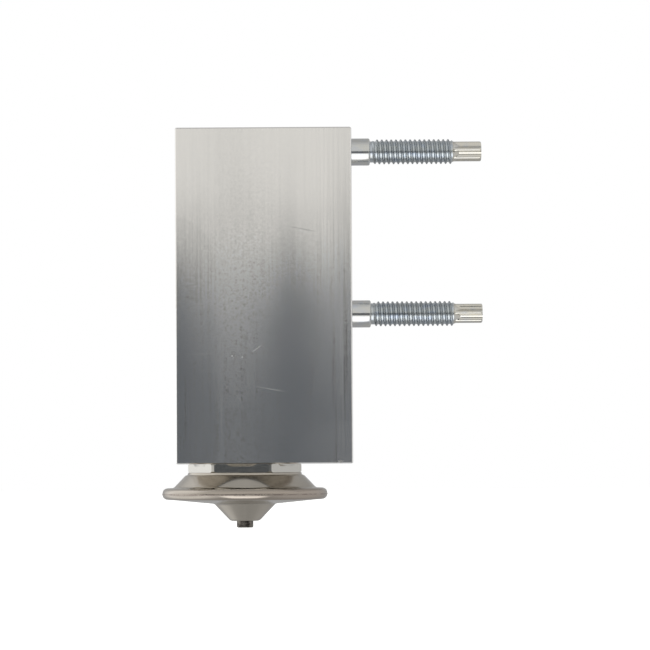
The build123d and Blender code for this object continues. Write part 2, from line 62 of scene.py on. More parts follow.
# ---- places read from the frame ----
BLOCK_LOW, BLOCK_HIGH = (millimetres(corner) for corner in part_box("valve_body"))
LINE_FACE_X = BLOCK_HIGH.x
RIM_LOW, RIM_HIGH = (millimetres(corner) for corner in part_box("housing_shell"))
STEM_X = (RIM_LOW.x + RIM_HIGH.x) / 2
RIM_R = (RIM_HIGH.x - RIM_LOW.x) / 2
JOINT_Z = RIM_LOW.z  # where the two pressed shells meet
UPPER_STUD_Z, LOWER_STUD_Z = (
    (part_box(node)[0][2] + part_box(node)[1][2]) / 2 / MM for node in ("upper_stud", "lower_stud"))

# ---- studs, lengths from the line face ----
COLLAR_R = 3.0
COLLAR_END = 4.15
THREAD_START = 4.45
THREAD_END = 22.65
THREAD_R = 2.74
THREAD_ROOT_R = 2.33
THREAD_PITCH = 1.0467
CREST_HALF = 0.10  # half width of the crest
FLANK_FOOT = 0.36  # from the middle of the crest to the foot of the flank
DRIVE_END = 28.85
DRIVE_LOBE_R = 2.25
DRIVE_ROOT_R = 1.62
DRIVE_LOBE_ROUND = 0.45
DRIVE_LOBES = 6
DRIVE_RUNOUT = 1.3
UPPER_STUD_TURN = 10.0  # degrees from -Y towards +Z of one lobe
LOWER_STUD_TURN = 5.0
UPPER_CREST = 5.79  # where one crest crosses the top of the stud
LOWER_CREST = 5.86

# ---- tapped holes of the evaporator plate ----
PLATE_HOLE_Z = 12.0
PLATE_HOLE_Y = 8.5
PLATE_HOLE_R = 2.5
PLATE_HOLE_DEPTH = 11.6
PLATE_THREAD_ROOT_R = 2.1
PLATE_THREAD_PITCH = 0.8

# ---- camera: distance from the plane of the studs, lens for a 36 mm sensor ----
CAMERA_X = 28.29
CAMERA_Z = -16.0
CAMERA_DISTANCE = 700.0
CAMERA_LENS = 175.45
CAMERA_TILT = 2.27  # degrees upwards
CAMERA_ROLL = 0.33
FLOOR_Z = -100.0
CARD_DISTANCE = 514.0
CARD_WIDTH = 1700.0
CARD_Z = (-60.0, 57.0)
CARD_COLOUR = (0.100, 0.107, 0.116)
FLOOR_GLOW = 0.62


# ================================================================ small tools
def srgb(code, alpha=1.0):
    """Linear colour of a hex code such as 'c8c6c0'."""
    values = [int(code[start:start + 2], 16) / 255 for start in (0, 2, 4)]
    linear = [v / 12.92 if v <= 0.04045 else ((v + 0.055) / 1.055) ** 2.4 for v in values]
    return (*linear, alpha)


def add_node(tree, kind, inputs=None, out=0, stops=(), **settings):
    """Adds a node with its settings and links, and returns one of its outputs.

    inputs holds a value or another node's output for each socket, by name or number, and stops
    the positions and colours of a colour ramp.
    """
    made = tree.nodes.new(kind)
    for name, value in settings.items():
        setattr(made, name, value)
    for key, value in (inputs or {}).items():
        if isinstance(value, bpy.types.NodeSocket):
            tree.links.new(value, made.inputs[key])
        else:
            made.inputs[key].default_value = value
    for index, (position, colour) in enumerate(stops):
        elements = made.color_ramp.elements
        element = elements[index] if index < len(elements) else elements.new(position)
        element.position = position
        element.color = colour if isinstance(colour, tuple) else (colour, colour, colour, 1.0)
    return made.outputs[out] if made.outputs else None


def new_material(name):
    """Empty material, with the place on the piece in millimetres."""
    material = bpy.data.materials.new(name)
    material.use_nodes = True
    tree = material.node_tree
    tree.nodes.clear()
    place = add_node(tree, "ShaderNodeTexCoord", out="Object")
    return material, tree, add_node(tree, "ShaderNodeVectorMath", {0: place, "Scale": 1 / MM},
                                    operation="SCALE")


# ================================================================ materials
# How far each upright band of the bar leans up or down, as a share of the bar's length in X.
# An extrusion die leaves such bands, and they carry the bright reflection lower or higher.
BAND_LEAN = [(0.0, -15), (0.035, -15), (0.135, -6), (0.305, 10), (0.39, 9), (0.514, 0),
             (0.638, -27), (0.723, -12), (0.812, 3), (0.90, 3), (0.935, -14), (1.0, -16)]
# The same bands are a little smoother or rougher, which shows most in the dark part.
BAND_ROUGHNESS = [(0.0, -0.022), (0.04, -0.020), (0.12, 0.0), (0.20, 0.006), (0.26, 0.030),
                  (0.34, 0.034), (0.42, 0.022), (0.52, 0.002), (0.62, -0.016), (0.72, -0.014),
                  (0.82, 0.0), (0.88, 0.010), (0.93, 0.024), (1.0, 0.026)]
LEAN_RANGE = 80.0
LEAN_STEP = 0.00027  # radians for one step of BAND_LEAN
GRAIN_TONE = 3.0  # how strongly the grain shows in the tone

# Handling marks on the front: X, Z, half length, half width, turn in degrees, tone, roughness. A lighter
# tone is partly a painted glint on the scratch.
HANDLING_MARKS = [
    (31.4, -19.4, 9.76, 9.76, 0.0, 0.06, 0.01),
    (-5.7, 25.0, 10.2, 10.2, 0.0, -0.05, 0.0),
    (17.0, -2.7, 3.3, 0.12, 10.7, 0.35, 0.10),
    (13.7, 6.2, 1.7, 0.10, -36.9, 0.35, 0.10),
    (23.6, 32.1, 2.9, 0.14, 10.9, -0.12, 0.10),
    (23.9, 31.5, 2.4, 0.10, 10.9, 0.10, 0.05),
    (30.0, 23.6, 1.0, 0.12, 0.0, -0.20, 0.10),
    (8.3, 4.6, 0.18, 0.16, 0.0, 0.45, 0.10),
    (10.5, 4.35, 0.22, 0.14, 20.0, 0.45, 0.10),
    (26.2, -7.0, 0.18, 0.18, 0.0, 0.40, 0.10),
    (25.8, -2.5, 0.15, 0.15, 0.0, 0.35, 0.10),
    (1.4, 5.05, 4.6, 0.13, 0.0, 0.12, 0.02),
    (3.2, 1.3, 2.7, 0.12, 0.0, 0.12, 0.02),
    (31.8, 3.4, 19.3, 0.12, 90.0, -0.22, 0.03),
    (32.15, 3.4, 19.3, 0.12, 90.0, 0.22, 0.03),
    (5.2, -9.4, 8.7, 0.16, 90.0, -0.10, 0.02),
    (5.9, -9.4, 8.0, 0.14, 90.0, 0.08, 0.02),
    (31.6, -18.3, 0.7, 0.22, 0.0, -0.30, 0.10)]
STAIN_HALF_WIDTH = 5.0  # a mark wider than this is a stain with a crisp edge
STAIN_EDGE = (1.04, 0.97)  # where a mark starts and where it is full, as shares of its size
SCRATCH_EDGE = (1.3, 0.4)


def extruded_aluminium():
    """Extruded aluminium bar, satin: a soft upright sheen, die lines and the scuffs of handling, the
    lighter scuffs carrying a painted glint.
    """
    material, tree, place = new_material("extruded_aluminium")
    share_x = add_node(tree, "ShaderNodeMapRange", {
        "Value": add_node(tree, "ShaderNodeSeparateXYZ", {0: place}, out="X"),
        "From Min": BLOCK_LOW.x, "From Max": BLOCK_HIGH.x})
    share_z = add_node(tree, "ShaderNodeMapRange", {
        "Value": add_node(tree, "ShaderNodeSeparateXYZ", {0: place}, out="Z"),
        "From Min": BLOCK_LOW.z, "From Max": BLOCK_HIGH.z})

    # die lines 0.4 mm apart along the bar, and a mottle of 0.4 mm from storage and washing
    die_lines = add_node(tree, "ShaderNodeTexNoise", {
        "Vector": add_node(tree, "ShaderNodeVectorMath", {0: place, 1: (2.6, 2.6, 0.03)},
                           operation="MULTIPLY"),
        "Scale": 1.0, "Detail": 4.0, "Roughness": 0.6})
    mottle = add_node(tree, "ShaderNodeTexNoise", {
        "Vector": add_node(tree, "ShaderNodeVectorMath", {0: place, 1: (2.6, 2.6, 2.4)},
                           operation="MULTIPLY"),
        "Scale": 1.0, "Detail": 4.0, "Roughness": 0.75})
    rubbing = add_node(tree, "ShaderNodeTexNoise", {
        "Vector": add_node(tree, "ShaderNodeVectorMath", {0: place, 1: (0.5, 0.5, 4.5)},
                           operation="MULTIPLY"),
        "Scale": 1.0, "Detail": 2.0})
    cloud = add_node(tree, "ShaderNodeTexNoise", {
        "Vector": add_node(tree, "ShaderNodeVectorMath", {0: place, 1: (0.09, 0.09, 0.06)},
                           operation="MULTIPLY"),
        "Scale": 1.0, "Detail": 4.0})

    # the mottle is strongest left of the middle, the die lines near the right edge, and the
    # upper end of the bar is clean
    low_end = add_node(tree, "ShaderNodeValToRGB", {0: share_z}, stops=[
        (0.0, 0.8), (0.15, 0.9), (0.35, 1.0), (0.55, 0.5), (0.75, 0.12), (1.0, 0.05)])
    mottle_side = add_node(tree, "ShaderNodeValToRGB", {0: share_x}, stops=[
        (0.0, 0.45), (0.2, 0.5), (0.3, 1.0), (0.46, 1.0), (0.56, 0.42), (1.0, 0.42)])
    line_side = add_node(tree, "ShaderNodeValToRGB", {0: share_x}, stops=[
        (0.0, 0.35), (0.2, 0.5), (0.27, 0.3), (0.78, 0.35), (0.88, 1.0), (1.0, 1.0)])
    grain = add_node(tree, "ShaderNodeMath", {
        0: add_node(tree, "ShaderNodeMath", {
            0: add_node(tree, "ShaderNodeMath", {0: mottle, 1: -0.5}, operation="ADD"),
            1: mottle_side}, operation="MULTIPLY"),
        1: add_node(tree, "ShaderNodeMath", {
            0: add_node(tree, "ShaderNodeMath", {0: die_lines, 1: -0.5}, operation="ADD"),
            1: line_side}, operation="MULTIPLY")}, operation="ADD")
    grain = add_node(tree, "ShaderNodeMath", {
        0: grain, 1: add_node(tree, "ShaderNodeMath", {0: rubbing, 1: 0.2}, operation="MULTIPLY")},
        operation="ADD")
    grain = add_node(tree, "ShaderNodeMath", {0: grain, 1: low_end}, operation="MULTIPLY")

    # the marks add up to one tone and one roughness; a lighter mark's tone is partly a painted glint
    tone_and_glint = add_node(tree, "ShaderNodeMath", {0: grain, 1: GRAIN_TONE}, operation="MULTIPLY")
    dulled = add_node(tree, "ShaderNodeMapRange", {
        "Value": cloud, "From Min": 0.3, "From Max": 0.7, "To Min": 0.05, "To Max": 0.07})
    dulled = add_node(tree, "ShaderNodeMath", {
        0: add_node(tree, "ShaderNodeValToRGB", {0: share_x}, stops=[
            (position, 0.1 + step) for position, step in BAND_ROUGHNESS]), 1: dulled},
        operation="ADD")
    for x, z, half_length, half_width, turn, lightness_and_glint, roughening in HANDLING_MARKS:
        edge = STAIN_EDGE if half_width > STAIN_HALF_WIDTH else SCRATCH_EDGE
        inside = add_node(tree, "ShaderNodeMapping", {
            "Vector": place, "Location": (x, BLOCK_LOW.y, z), "Rotation": (0, math.radians(turn), 0),
            "Scale": (half_length, 10.0, half_width)}, vector_type="TEXTURE")
        mask = add_node(tree, "ShaderNodeMapRange", {
            "Value": add_node(tree, "ShaderNodeVectorMath", {0: inside}, out="Value",
                              operation="LENGTH"),
            "From Min": edge[0], "From Max": edge[1]},
            interpolation_type="SMOOTHSTEP")
        # a lighter mark brightens the colour as a painted glint on top of the scratch itself
        tone_and_glint = add_node(tree, "ShaderNodeMath", {0: mask, 1: lightness_and_glint, 2: tone_and_glint},
                        operation="MULTIPLY_ADD")
        dulled = add_node(tree, "ShaderNodeMath", {0: mask, 1: roughening, 2: dulled},
                          operation="MULTIPLY_ADD")
    colour = add_node(tree, "ShaderNodeVectorMath", {
        0: srgb("f1efec")[:3],
        "Scale": add_node(tree, "ShaderNodeMath", {0: tone_and_glint, 1: 1.0}, operation="ADD")},
        operation="SCALE")

    # bands lean up or down by a few thousandths of a radian
    lean = add_node(tree, "ShaderNodeValToRGB", {0: share_x}, stops=[
        (position, 0.5 + step / LEAN_RANGE) for position, step in BAND_LEAN])
    lean = add_node(tree, "ShaderNodeMapRange", {
        "Value": lean, "To Min": -0.5 * LEAN_RANGE * LEAN_STEP, "To Max": 0.5 * LEAN_RANGE * LEAN_STEP})
    relief = add_node(tree, "ShaderNodeBump", {"Height": grain, "Distance": 0.006 * MM, "Strength": 0.7})
    normal = add_node(tree, "ShaderNodeVectorMath", {
        0: relief, 1: add_node(tree, "ShaderNodeCombineXYZ", {"Z": lean})}, operation="ADD")
    normal = add_node(tree, "ShaderNodeVectorMath", {0: normal}, operation="NORMALIZE")
    shader = add_node(tree, "ShaderNodeBsdfPrincipled", {
        "Base Color": colour, "Metallic": 1.0, "Roughness": dulled, "Normal": normal})
    add_node(tree, "ShaderNodeOutputMaterial", {"Surface": shader})
    return material


def milled_stainless():
    """Turned and milled stainless steel: clean and bright with fine level tool marks."""
    material, tree, place = new_material("milled_stainless_steel")
    marks = add_node(tree, "ShaderNodeTexNoise", {
        "Vector": add_node(tree, "ShaderNodeVectorMath", {0: place, 1: (0.6, 0.6, 9.0)},
                           operation="MULTIPLY"),
        "Scale": 1.0, "Detail": 3.0})
    shader = add_node(tree, "ShaderNodeBsdfPrincipled", {
        "Base Color": srgb("cbc9c3"), "Metallic": 1.0,
        "Roughness": add_node(tree, "ShaderNodeMapRange", {
            "Value": marks, "From Min": 0.3, "From Max": 0.7, "To Min": 0.10, "To Max": 0.20}),
        "Normal": add_node(tree, "ShaderNodeBump", {
            "Height": marks, "Distance": 0.004 * MM, "Strength": 0.4})})
    add_node(tree, "ShaderNodeOutputMaterial", {"Surface": shader})
    return material


def pressed_stainless():
    """Deep-drawn stainless sheet, warm and glossy, a little browner towards the weld."""
    material, tree, place = new_material("pressed_stainless_steel")
    from_stem = add_node(tree, "ShaderNodeMapping", {
        "Vector": place, "Location": (STEM_X, 0, JOINT_Z)}, vector_type="TEXTURE")
    radius = add_node(tree, "ShaderNodeVectorMath", {
        0: add_node(tree, "ShaderNodeVectorMath", {0: from_stem, 1: (1.0, 1.0, 0.0)},
                    operation="MULTIPLY")}, out="Value", operation="LENGTH")
    smear = add_node(tree, "ShaderNodeTexNoise", {
        "Vector": add_node(tree, "ShaderNodeVectorMath", {0: place, 1: (0.25, 0.25, 0.6)},
                           operation="MULTIPLY"),
        "Scale": 1.0, "Detail": 3.0})
    heat = add_node(tree, "ShaderNodeMapRange", {
        "Value": add_node(tree, "ShaderNodeMath", {0: smear, 1: 1.2, 2: radius},
                          operation="MULTIPLY_ADD"),
        "From Min": RIM_R - 2.2, "From Max": RIM_R + 0.2}, interpolation_type="SMOOTHSTEP")
    right_side = add_node(tree, "ShaderNodeMapRange", {
        "Value": add_node(tree, "ShaderNodeSeparateXYZ", {0: from_stem}, out="X"),
        "From Min": -RIM_R, "From Max": RIM_R, "To Min": 0.25, "To Max": 1.0})
    tint = add_node(tree, "ShaderNodeMix", {
        0: add_node(tree, "ShaderNodeMath", {0: heat, 1: right_side}, operation="MULTIPLY"),
        6: srgb("b9b3a9"), 7: srgb("aa9f95")}, out=2, data_type="RGBA")
    shader = add_node(tree, "ShaderNodeBsdfPrincipled", {
        "Base Color": tint, "Metallic": 1.0,
        "Roughness": add_node(tree, "ShaderNodeMapRange", {
            "Value": smear, "From Min": 0.3, "From Max": 0.7, "To Min": 0.10, "To Max": 0.20}),
        "Normal": add_node(tree, "ShaderNodeBump", {
            "Height": smear, "Distance": 0.02 * MM, "Strength": 0.15})})
    add_node(tree, "ShaderNodeOutputMaterial", {"Surface": shader})
    return material


def weld_seam():
    """Bead of the weld round the rim: steel burnt to a dull grey-brown."""
    material, tree, place = new_material("welded_stainless_steel")
    scorch = add_node(tree, "ShaderNodeTexNoise", {
        "Vector": add_node(tree, "ShaderNodeVectorMath", {0: place, 1: (0.7, 0.7, 0.7)},
                           operation="MULTIPLY"),
        "Scale": 1.0, "Detail": 4.0})
    shader = add_node(tree, "ShaderNodeBsdfPrincipled", {
        "Base Color": add_node(tree, "ShaderNodeValToRGB", {0: scorch}, stops=[
            (0.35, srgb("8d7f7a")), (0.65, srgb("b3a99f"))]),
        "Metallic": 1.0,
        "Roughness": add_node(tree, "ShaderNodeMapRange", {
            "Value": scorch, "From Min": 0.3, "From Max": 0.7, "To Min": 0.2, "To Max": 0.34})})
    add_node(tree, "ShaderNodeOutputMaterial", {"Surface": shader})
    return material


def welded_pin():
    """Resistance-welded pin: steel burnt grey-brown by the weld."""
    material, tree, place = new_material("welded_steel_pin")
    scorch = add_node(tree, "ShaderNodeTexNoise", {
        "Vector": add_node(tree, "ShaderNodeVectorMath", {0: place, 1: (1.2, 1.2, 1.2)},
                           operation="MULTIPLY"),
        "Scale": 1.0, "Detail": 4.0})
    shader = add_node(tree, "ShaderNodeBsdfPrincipled", {
        "Base Color": add_node(tree, "ShaderNodeValToRGB", {0: scorch}, stops=[
            (0.35, srgb("3d3936")), (0.65, srgb("8a857e"))]),
        "Metallic": 1.0,
        "Roughness": add_node(tree, "ShaderNodeMapRange", {
            "Value": scorch, "From Min": 0.3, "From Max": 0.7, "To Min": 0.25, "To Max": 0.45}),
        "Normal": add_node(tree, "ShaderNodeBump", {
            "Height": scorch, "Distance": 0.02 * MM, "Strength": 0.3})})
    add_node(tree, "ShaderNodeOutputMaterial", {"Surface": shader})
    return material


def ground_stainless():
    """Centreless-ground stainless rod: grind lines that run round it."""
    material, tree, place = new_material("ground_stainless_steel")
    lines = add_node(tree, "ShaderNodeTexNoise", {
        "Vector": add_node(tree, "ShaderNodeVectorMath", {0: place, 1: (0.5, 0.5, 14.0)},
                           operation="MULTIPLY"),
        "Scale": 1.0, "Detail": 2.0})
    shader = add_node(tree, "ShaderNodeBsdfPrincipled", {
        "Base Color": srgb("c4c4c2"), "Metallic": 1.0,
        "Roughness": add_node(tree, "ShaderNodeMapRange", {
            "Value": lines, "From Min": 0.3, "From Max": 0.7, "To Min": 0.16, "To Max": 0.28}),
        "Normal": add_node(tree, "ShaderNodeBump", {
            "Height": lines, "Distance": 0.003 * MM, "Strength": 0.3})})
    add_node(tree, "ShaderNodeOutputMaterial", {"Surface": shader})
    return material


def spring_wire():
    """Drawn spring steel wire, dark and slightly oily."""
    material, tree, place = new_material("drawn_spring_steel")
    lines = add_node(tree, "ShaderNodeTexNoise", {
        "Vector": add_node(tree, "ShaderNodeVectorMath", {0: place, 1: (3.0, 3.0, 3.0)},
                           operation="MULTIPLY"),
        "Scale": 1.0, "Detail": 3.0})
    shader = add_node(tree, "ShaderNodeBsdfPrincipled", {
        "Base Color": srgb("7c7b78"), "Metallic": 1.0,
        "Roughness": add_node(tree, "ShaderNodeMapRange", {
            "Value": lines, "From Min": 0.3, "From Max": 0.7, "To Min": 0.22, "To Max": 0.36})})
    add_node(tree, "ShaderNodeOutputMaterial", {"Surface": shader})
    return material


def turned_brass():
    """Free-cutting brass as it comes off the lathe: tool rings under a light tarnish."""
    material, tree, place = new_material("turned_brass")
    rings = add_node(tree, "ShaderNodeTexNoise", {
        "Vector": add_node(tree, "ShaderNodeVectorMath", {0: place, 1: (0.4, 0.4, 12.0)},
                           operation="MULTIPLY"),
        "Scale": 1.0, "Detail": 2.0})
    tarnish = add_node(tree, "ShaderNodeTexNoise", {
        "Vector": add_node(tree, "ShaderNodeVectorMath", {0: place, 1: (0.5, 0.5, 0.5)},
                           operation="MULTIPLY"),
        "Scale": 1.0, "Detail": 4.0})
    shader = add_node(tree, "ShaderNodeBsdfPrincipled", {
        "Base Color": add_node(tree, "ShaderNodeValToRGB", {0: tarnish}, stops=[
            (0.3, srgb("d2b06a")), (0.7, srgb("b98f4a"))]),
        "Metallic": 1.0,
        "Roughness": add_node(tree, "ShaderNodeMapRange", {
            "Value": tarnish, "From Min": 0.3, "From Max": 0.7, "To Min": 0.18, "To Max": 0.32}),
        "Normal": add_node(tree, "ShaderNodeBump", {
            "Height": rings, "Distance": 0.004 * MM, "Strength": 0.35})})
    add_node(tree, "ShaderNodeOutputMaterial", {"Surface": shader})
    return material


def moulded_rubber():
    """Hydrogenated nitrile O-ring, black-green with a soft sheen."""
    material, tree, place = new_material("moulded_nitrile_rubber")
    dust = add_node(tree, "ShaderNodeTexNoise", {
        "Vector": add_node(tree, "ShaderNodeVectorMath", {0: place, 1: (2.0, 2.0, 2.0)},
                           operation="MULTIPLY"),
        "Scale": 1.0, "Detail": 4.0})
    shader = add_node(tree, "ShaderNodeBsdfPrincipled", {
        "Base Color": add_node(tree, "ShaderNodeValToRGB", {0: dust}, stops=[
            (0.35, srgb("141a17")), (0.7, srgb("232b27"))]),
        "Roughness": add_node(tree, "ShaderNodeMapRange", {
            "Value": dust, "From Min": 0.3, "From Max": 0.7, "To Min": 0.42, "To Max": 0.6}),
        "Normal": add_node(tree, "ShaderNodeBump", {
            "Height": dust, "Distance": 0.01 * MM, "Strength": 0.3})})
    add_node(tree, "ShaderNodeOutputMaterial", {"Surface": shader})
    return material


CREST_FROM_R = 2.42
CREST_FULL_R = 2.66
CREST_SHADE = -0.34
ROLLED_ROUGHNESS = 0.13
WITHOUT_X = (1e6, 1, 1)  # a texture scale that leaves only the distance from the stud's axis


def zinc_plated():
    """Rolled steel with bright passivated zinc: cool and glossy, beige where the dip dried."""
    material, tree, place = new_material("zinc_plated_steel")
    cloud = add_node(tree, "ShaderNodeTexNoise", {
        "Vector": add_node(tree, "ShaderNodeVectorMath", {0: place, 1: (0.35, 0.6, 0.6)},
                           operation="MULTIPLY"),
        "Scale": 1.0, "Detail": 3.0})
    along = add_node(tree, "ShaderNodeMapRange", {
        "Value": add_node(tree, "ShaderNodeSeparateXYZ", {0: place}, out="X"),
        "From Min": LINE_FACE_X, "From Max": LINE_FACE_X + DRIVE_END})
    # the thread is rougher than collar and drive, and its crests are coloured darker
    thread = add_node(tree, "ShaderNodeValToRGB", {0: along}, stops=[
        (0.0, 0.0), (0.145, 0.0), (0.155, 1.0), (0.775, 1.0), (0.785, 0.0)])
    upper_axis, lower_axis = (add_node(tree, "ShaderNodeVectorMath", {
        0: add_node(tree, "ShaderNodeMapping", {
            "Vector": place, "Location": (0, 0, height), "Scale": WITHOUT_X}, vector_type="TEXTURE")},
        out="Value", operation="LENGTH") for height in (UPPER_STUD_Z, LOWER_STUD_Z))
    radius = add_node(tree, "ShaderNodeMath", {0: upper_axis, 1: lower_axis}, operation="MINIMUM")
    crest = add_node(tree, "ShaderNodeMath", {
        0: add_node(tree, "ShaderNodeMapRange", {
            "Value": radius, "From Min": CREST_FROM_R, "From Max": CREST_FULL_R},
            interpolation_type="SMOOTHSTEP"), 1: thread}, operation="MULTIPLY")
    rolled = add_node(tree, "ShaderNodeMath", {0: thread, 1: ROLLED_ROUGHNESS}, operation="MULTIPLY")
    zone = add_node(tree, "ShaderNodeValToRGB", {0: along}, stops=[
        (0.0, srgb("f6f8fa")), (0.145, srgb("f6f8fa")), (0.155, srgb("e6eef6")), (0.775, srgb("e6eef6")),
        (0.785, srgb("fcfaf4"))])
    pits = add_node(tree, "ShaderNodeTexNoise", {
        "Vector": add_node(tree, "ShaderNodeVectorMath", {0: place, 1: (5.0, 5.0, 5.0)},
                           operation="MULTIPLY"),
        "Scale": 1.0, "Detail": 3.0})
    shader = add_node(tree, "ShaderNodeBsdfPrincipled", {
        "Base Color": add_node(tree, "ShaderNodeVectorMath", {
            0: add_node(tree, "ShaderNodeVectorMath", {
                0: zone, 1: add_node(tree, "ShaderNodeValToRGB", {0: cloud}, stops=[
                    (0.3, srgb("d3d5d9")), (0.55, srgb("dcdad4")), (0.75, srgb("cfd3d9"))])},
                operation="MULTIPLY"),
            "Scale": add_node(tree, "ShaderNodeMath", {0: crest, 1: CREST_SHADE, 2: 1.0},
                              operation="MULTIPLY_ADD")}, operation="SCALE"),
        "Metallic": 1.0,
        "Roughness": add_node(tree, "ShaderNodeMath", {
            0: add_node(tree, "ShaderNodeMapRange", {
                "Value": cloud, "From Min": 0.3, "From Max": 0.7, "To Min": 0.11, "To Max": 0.18}),
            1: rolled}, operation="ADD"),
        "Normal": add_node(tree, "ShaderNodeBump", {
            "Height": pits, "Distance": 0.002 * MM, "Strength": 0.3})})
    add_node(tree, "ShaderNodeOutputMaterial", {"Surface": shader})
    return material


# ================================================================ modelling by hand
def deselect_all():
    if bpy.context.mode != "OBJECT":
        bpy.ops.object.mode_set(mode="OBJECT")
    bpy.ops.object.select_all(action="DESELECT")


def start_edit(name):
    """Names the primitive just added and opens it, with all of it selected."""
    piece = bpy.context.active_object
    piece.name = name
    piece.data.name = name
    bpy.ops.object.transform_apply(location=True, rotation=True, scale=True)
    bpy.ops.object.mode_set(mode="EDIT")
    bpy.ops.mesh.select_all(action="SELECT")
    return piece


def end_edit(piece, material, body, smooth_angle=35.0):
    bpy.ops.object.mode_set(mode="OBJECT")
    piece.data.materials.clear()
    piece.data.materials.append(material)
    bpy.ops.object.shade_smooth_by_angle(angle=math.radians(smooth_angle))
    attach(piece, body)


def draw_out(stations, centre):
    """Extrudes the selected open ring along X through (distance, radius) stations in mm."""
    (place, radius), *rest = stations
    for next_place, next_radius in rest:
        step = metres(next_place - place, 0, 0)
        bpy.ops.mesh.extrude_edges_move(TRANSFORM_OT_translate={"value": step})
        middle = metres(centre[0] + next_place, centre[1], centre[2])
        grow = next_radius / radius
        bpy.ops.transform.resize(value=(grow, grow, grow), center_override=middle)
        place, radius = next_place, next_radius


def smooth_step(value):
    value = min(max(value, 0.0), 1.0)
    return value * value * (3 - 2 * value)


# ================================================================ studs
STUD_SEGMENTS = 96
RINGS_PER_PITCH = 20
DRIVE_RINGS = 24
END_ROUND = 0.45


def lobe_radius(angle):
    """Radius of the six-lobe drive at an angle in radians from the middle of a lobe."""
    half_step = math.pi / DRIVE_LOBES
    angle = abs((angle + half_step) % (2 * half_step) - half_step)
    lobe_centre = DRIVE_LOBE_R - DRIVE_LOBE_ROUND
    cosine = math.cos(half_step)
    spare = (DRIVE_ROOT_R ** 2 + lobe_centre ** 2 - 2 * lobe_centre * DRIVE_ROOT_R * cosine
             - DRIVE_LOBE_ROUND ** 2)
    flute_r = spare / (2 * (DRIVE_LOBE_ROUND - DRIVE_ROOT_R + lobe_centre * cosine))
    flute_centre = DRIVE_ROOT_R + flute_r
    share = DRIVE_LOBE_ROUND / (DRIVE_LOBE_ROUND + flute_r)
    touch_x = lobe_centre + (flute_centre * cosine - lobe_centre) * share
    touch_y = flute_centre * math.sin(half_step) * share
    if angle <= math.atan2(touch_y, touch_x):
        across = lobe_centre * math.sin(angle)
        return lobe_centre * math.cos(angle) + math.sqrt(DRIVE_LOBE_ROUND ** 2 - across ** 2)
    beside = half_step - angle
    across = flute_centre * math.sin(beside)
    return flute_centre * math.cos(beside) - math.sqrt(flute_r ** 2 - across ** 2)


def thread_radius(place, angle, crest_place):
    """Radius of the rolled right-hand thread at a distance from the line face."""
    turns = (place - crest_place) / THREAD_PITCH - (angle - math.pi / 2) / (2 * math.pi)
    from_crest = abs((turns + 0.5) % 1.0 - 0.5) * THREAD_PITCH
    flank = 1.0 - min(max((from_crest - CREST_HALF) / (FLANK_FOOT - CREST_HALF), 0.0), 1.0)
    height = 0.5 * flank + 0.5 * smooth_step(flank)
    start = smooth_step((place - THREAD_START) / (1.1 * THREAD_PITCH))
    radius = THREAD_ROOT_R + (THREAD_R - THREAD_ROOT_R) * height * start
    end_chamfer = DRIVE_LOBE_R - 0.05 + (THREAD_END - place) * 1.1
    return min(radius, end_chamfer)


def drive_radius(place, angle, turn):
    """Six lobes whose flutes run out in a V towards the thread."""
    full = lobe_radius(angle - turn)
    runout = (place - THREAD_END) / DRIVE_RUNOUT
    floor = DRIVE_LOBE_R - (DRIVE_LOBE_R - DRIVE_ROOT_R) * min(max(runout, 0.0), 1.0)
    curl = max(0.0, END_ROUND - (DRIVE_END - place))
    end_limit = DRIVE_LOBE_R - END_ROUND + math.sqrt(max(0.0, END_ROUND ** 2 - curl ** 2))
    return min(max(full, floor), end_limit)


def threaded_stud(name, node, turn_degrees, crest_place, material):
    """Collar drawn out of a ring, then thread and drive rolled into the blank."""
    low, high = (millimetres(corner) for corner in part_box(node))
    centre = (LINE_FACE_X, 0.0, (low.z + high.z) / 2)
    deselect_all()
    bpy.ops.mesh.primitive_circle_add(
        vertices=STUD_SEGMENTS, radius=COLLAR_R * MM, fill_type="NOTHING",
        location=metres(*centre), rotation=(0, math.pi / 2, 0))
    stud = start_edit(name)
    thread_rings = round((THREAD_END - THREAD_START) / THREAD_PITCH * RINGS_PER_PITCH)
    stations = [(0.0, COLLAR_R), (COLLAR_END - 0.3, COLLAR_R), (COLLAR_END - 0.2, COLLAR_R - 0.03),
                (COLLAR_END - 0.06, COLLAR_R - 0.14), (COLLAR_END, COLLAR_R - 0.26),
                (COLLAR_END + 0.04, THREAD_ROOT_R + 0.1), (COLLAR_END + 0.14, THREAD_ROOT_R)]
    stations += [(THREAD_START + (THREAD_END - THREAD_START) * i / thread_rings, THREAD_ROOT_R)
                 for i in range(thread_rings + 1)]
    stations += [(THREAD_END + 0.02 + (DRIVE_END - THREAD_END - 0.5) * i / DRIVE_RINGS, DRIVE_LOBE_R)
                 for i in range(DRIVE_RINGS)]
    for degrees in (0, 22, 45, 68, 90):
        bend = math.radians(degrees)
        stations.append((DRIVE_END - END_ROUND * (1 - math.sin(bend)),
                         DRIVE_LOBE_R - END_ROUND * (1 - math.cos(bend))))
    draw_out(stations, centre)
    bpy.ops.mesh.edge_face_add()
    bpy.ops.mesh.inset(thickness=0.25 * MM)
    bpy.ops.mesh.select_all(action="SELECT")
    bpy.ops.mesh.normals_make_consistent(inside=False)
    roll_shape(stud, centre, math.radians(180 - turn_degrees), crest_place)
    end_edit(stud, material, "block", smooth_angle=40.0)
    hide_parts(node)


